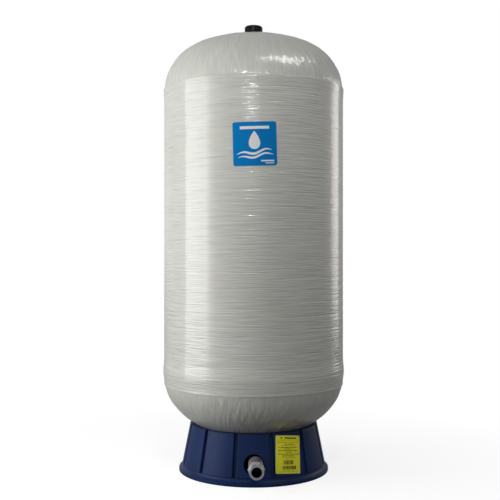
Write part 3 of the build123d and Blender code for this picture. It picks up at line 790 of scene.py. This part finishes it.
# Pale lines along the sticker's edges, which stop short of its corners
edge_shapes = []
for side in (-1, 1):
    right = side * (side_width / 2 - line_inset)
    up = side * (side_length / 2 - line_inset)
    edge_shapes.append(bar(right, 0.0, line_width, side_length - line_shortening))
    edge_shapes.append(bar(0.0, up, side_width - line_shortening, line_width))
for name, shapes, ink in (
    ("side_print_dark", dark_shapes, dark_ink),
    ("side_print_faint", faint_shapes, faint_ink),
    ("side_print_edge", edge_shapes, pale_ink),
):
    printed(name, side_sheet, shapes, ink)


# Water pipe with its thread cut, the valve's spring, and a dab of paint on the pipe


def thread_cutter():
    """A helical V-shaped ridge that cuts the thread out of the pipe's end."""
    count = int(thread_steps * (thread_length + thread_pitch) / thread_pitch)
    crest = thread_radius + cutter_margin
    root = thread_radius - thread_depth
    half = thread_pitch / 2
    vertices, faces = [], []
    for index in range(count + 1):
        turn = TAU * index / thread_steps
        along = pipe_reach + thread_pitch * 0.6 - thread_pitch * index / thread_steps
        for radius, shift in ((crest, -half), (root, 0.0), (crest, half)):
            across, rise = radius * math.cos(turn), radius * math.sin(turn)
            vertices.append((across, -(along + shift), pipe_height + rise))
    for index in range(count):
        base = 3 * index
        for side in range(3):
            following = (side + 1) % 3
            faces.append((base + side, base + following, base + 3 + following, base + 3 + side))
    faces.append((0, 2, 1))
    faces.append((3 * count, 3 * count + 1, 3 * count + 2))
    made = make_object("thread_cutter", vertices, faces, pipe_finish)
    face_outward(made.data)
    return made


def threaded_pipe():
    """The cast elbow as the frame has it, with its outside thread cut into it, and painted shade in
    its bore.
    """
    welded = bmesh.new()
    welded.from_mesh(nodes["water_elbow"].data)
    bmesh.ops.remove_doubles(welded, verts=welded.verts, dist=1e-6)
    mesh = bpy.data.meshes.new("threaded_elbow")
    welded.to_mesh(mesh)
    welded.free()
    mesh.materials.clear()
    pipe_finishes = (pipe_finish, painted_shade_bore, machined_finish)
    for finish in pipe_finishes:
        mesh.materials.append(finish)
    made = link_object("threaded_elbow", mesh)
    cutter = thread_cutter()
    cut = made.modifiers.new("thread", "BOOLEAN")
    cut.operation = "DIFFERENCE"
    cut.solver = "EXACT"
    cut.object = cutter
    bpy.context.view_layer.objects.active = made
    bpy.ops.object.modifier_apply(modifier=cut.name)
    bpy.data.objects.remove(cutter)
    for face in made.data.polygons:
        across, along, up = face.center
        from_axis = math.hypot(across, up - pipe_height)
        # Faces inside the bore get the painted shade, and faces at the end get the machined metal
        if from_axis < pipe_bore_radius + bore_margin and along < -bore_start:
            finish = painted_shade_bore
        elif along < -(pipe_reach - end_face_depth):
            finish = machined_finish
        else:
            finish = pipe_finish
        face.material_index = pipe_finishes.index(finish)
    shade_smooth(made.data, 30)
    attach(made, "tank")
    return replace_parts(made, "water_elbow")


def coil_spring():
    """The valve's spring, with a mesh of its own."""
    mesh = nodes["valve_spring"].data.copy()
    mesh.name = "coil_spring"
    made = link_object("coil_spring", mesh)
    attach(made, "tank")
    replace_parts(made, "valve_spring")
    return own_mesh(made)


def paint_dab():
    """A thin uneven dab of paint on the top of the pipe, between the skirt and the hexagon."""
    rim = np.random.default_rng(8).uniform(0.78, 1.0, 4 * (dab_rows + dab_columns))
    vertices = []
    for lift in dab_lifts:
        radius = pipe_radius + lift
        for row in range(dab_rows):
            for column in range(dab_columns):
                across = 2 * column / (dab_columns - 1) - 1
                along = 2 * row / (dab_rows - 1) - 1
                reach = rim[int((math.atan2(along, across) / TAU + 0.5) * (len(rim) - 1))]
                to_rim = reach / max(1e-6, math.hypot(across, along))
                drawn_in = min(1.0, to_rim * max(abs(across), abs(along)))
                angle = math.radians(dab_angle + dab_half_angle * across * drawn_in)
                place = dab_middle + dab_half_length * along * drawn_in
                side, rise = radius * math.sin(angle), radius * math.cos(angle)
                vertices.append((side, -place, pipe_height + rise))
    made = make_object("paint_dab", vertices, plate_faces(dab_rows, dab_columns), red_paint)
    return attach(made, "tank")


threaded_pipe()
coil_spring()
paint_dab()


# Studio


def area_lamp(name, azimuth, elevation, distance, target_height, size, level, colour, kind="both"):
    """A soft box that faces the tank's axis, which its kind of rays see: both, diffuse or gloss.

    The azimuth counts from the front, positive to the right.
    """
    lamp = bpy.data.lights.new(name, "AREA")
    lamp.shape = "RECTANGLE"
    lamp.size, lamp.size_y = size
    lamp.energy = level * math.pi * size[0] * size[1]
    lamp.color = colour
    made = link_object(name, lamp)
    turn, rise = math.radians(azimuth), math.radians(elevation)
    flat = math.cos(rise)
    way = Vector((math.sin(turn) * flat, -math.cos(turn) * flat, math.sin(rise)))
    made.location = Vector((0, 0, target_height)) + way * distance
    made.rotation_euler = way.to_track_quat("Z", "Y").to_euler()
    made.visible_glossy = kind != "diffuse"
    made.visible_diffuse = kind != "gloss"


warm = (1.0, 0.96, 0.90)
neutral = (1.0, 1.0, 0.985)
area_lamp("left_box", -74, 0, 1.9, 0.62, (1.14, 1.95), 4.7, neutral)
area_lamp("left_edge", -56.5, 0, 1.9, 0.62, (0.40, 1.95), 1.7, neutral, "gloss")
area_lamp("front_lamp", 0, 35, 2.0, 0.8, (0.26, 0.12), 75.0, neutral, "diffuse")
area_lamp("front_glint", -5.0, 27, 2.0, 0.8, (0.42, 0.06), 130.0, neutral, "gloss")
area_lamp("top_right_box", 45, 43, 1.9, 1.18, (0.95, 0.42), 15.0, neutral, "gloss")
area_lamp("front_soft", 38, 24, 2.6, 0.9, (1.6, 1.2), 0.50, neutral, "diffuse")
for foot, head, level in ((0.74, 1.70, 3.3), (0.42, 0.74, 2.5), (0.22, 0.42, 1.8)):
    middle, size = (foot + head) / 2, (0.62, head - foot)
    area_lamp("right_strip", 118.3, 0, 1.9, middle, size, level, warm, "gloss")


def seen_as_background(tree):
    """How much of the white background a ray shows: all of it, or a share in a reflection."""
    rays = add_node(tree, "ShaderNodeLightPath").outputs
    direct = math_node(tree, "MAXIMUM", rays["Is Camera Ray"], rays["Is Transmission Ray"])
    mirrored = map_range(tree, rays["Is Glossy Ray"], new_high=mirrored_share)
    return math_node(tree, "MAXIMUM", direct, mirrored)


def studio_world():
    """White to the camera. To everything else, a soft grey sky, dim to the right and behind."""
    world = bpy.data.worlds.new("studio")
    bpy.context.scene.world = world
    world.use_nodes = True
    tree = world.node_tree
    tree.nodes.clear()
    where = add_node(tree, "ShaderNodeTexCoord").outputs["Generated"]
    height = add_node(tree, "ShaderNodeSeparateXYZ", {0: where}).outputs["Z"]
    share = map_range(tree, height, -0.6, 0.8)
    levels = ((0.0, world_low), (0.45, world_level), (1.0, world_high))
    sky = ramp(tree, share, [(place, (level, level, level)) for place, level in levels])
    backward = vector_node(tree, "DOT_PRODUCT", where, (0.6, 0.8, 0.0), output="Value")
    dimming = map_range(tree, backward, 0.55, 0.85, 1.0, behind_share)
    sideways = vector_node(tree, "DOT_PRODUCT", where, (1.0, 0.0, 0.0), output="Value")
    balance = map_range(tree, sideways, -1.0, 1.0, world_left, world_right)
    strength = math_node(tree, "MULTIPLY", dimming, balance)
    lighting = add_node(tree, "ShaderNodeBackground", {"Color": sky, "Strength": strength})
    backdrop = add_node(tree, "ShaderNodeBackground", {"Color": white, "Strength": 1.0})
    mixed = mix_shader(tree, seen_as_background(tree), lighting, backdrop)
    add_node(tree, "ShaderNodeOutputWorld", {"Surface": mixed.outputs[0]})


def floor_material():
    """Shows white away from the tank, the tank's shadow near it, and a dark foot line of painted
    shade under it.
    """
    made = bpy.data.materials.new("floor_white")
    made.use_nodes = True
    tree = made.node_tree
    tree.nodes.clear()
    where = add_node(tree, "ShaderNodeTexCoord").outputs["Object"]
    distance = vector_node(tree, "LENGTH", where, output="Value")
    far = map_range(tree, distance, *white_from)
    outside = map_range(tree, distance, *shade_edge)
    lit = add_node(tree, "ShaderNodeBsdfDiffuse", {"Color": (0.34, 0.34, 0.34, 1.0)})
    glow = add_node(tree, "ShaderNodeEmission", {"Color": white, "Strength": 0.80})
    pale = add_node(tree, "ShaderNodeAddShader", {0: lit.outputs[0], 1: glow.outputs[0]})
    # Painted shade: a darker floor under the tank, out to just inside its foot
    shaded = add_node(tree, "ShaderNodeBsdfDiffuse", {"Color": (0.10, 0.10, 0.10, 1.0)})
    backdrop = add_node(tree, "ShaderNodeEmission", {"Color": white, "Strength": 1.0})
    seen = mix_shader(tree, far, mix_shader(tree, outside, shaded, pale), backdrop)
    plain = add_node(tree, "ShaderNodeBsdfDiffuse", {"Color": (0.05, 0.05, 0.05, 1.0)})
    mixed = mix_shader(tree, seen_as_background(tree), plain, seen)
    add_node(tree, "ShaderNodeOutputMaterial", {"Surface": mixed.outputs[0]})
    return made


studio_world()
reach = floor_size / 2
floor_corners = [(-reach, -reach, 0), (reach, -reach, 0), (reach, reach, 0), (-reach, reach, 0)]
floor = make_object("floor", floor_corners, [(0, 1, 2, 3)], floor_material())

camera_data = bpy.data.cameras.new("camera")
camera_data.sensor_width = sensor_width
camera_data.lens = sensor_width * focal_pixels / image_size
camera = link_object("camera", camera_data)
turn = math.radians(camera_azimuth)
camera.location = (
    math.sin(turn) * camera_distance + math.cos(turn) * camera_aside,
    -math.cos(turn) * camera_distance + math.sin(turn) * camera_aside,
    camera_height,
)
camera.rotation_euler = (math.radians(90), 0, turn)
bpy.context.scene.camera = camera
bpy.context.scene.view_settings.view_transform = "Standard"
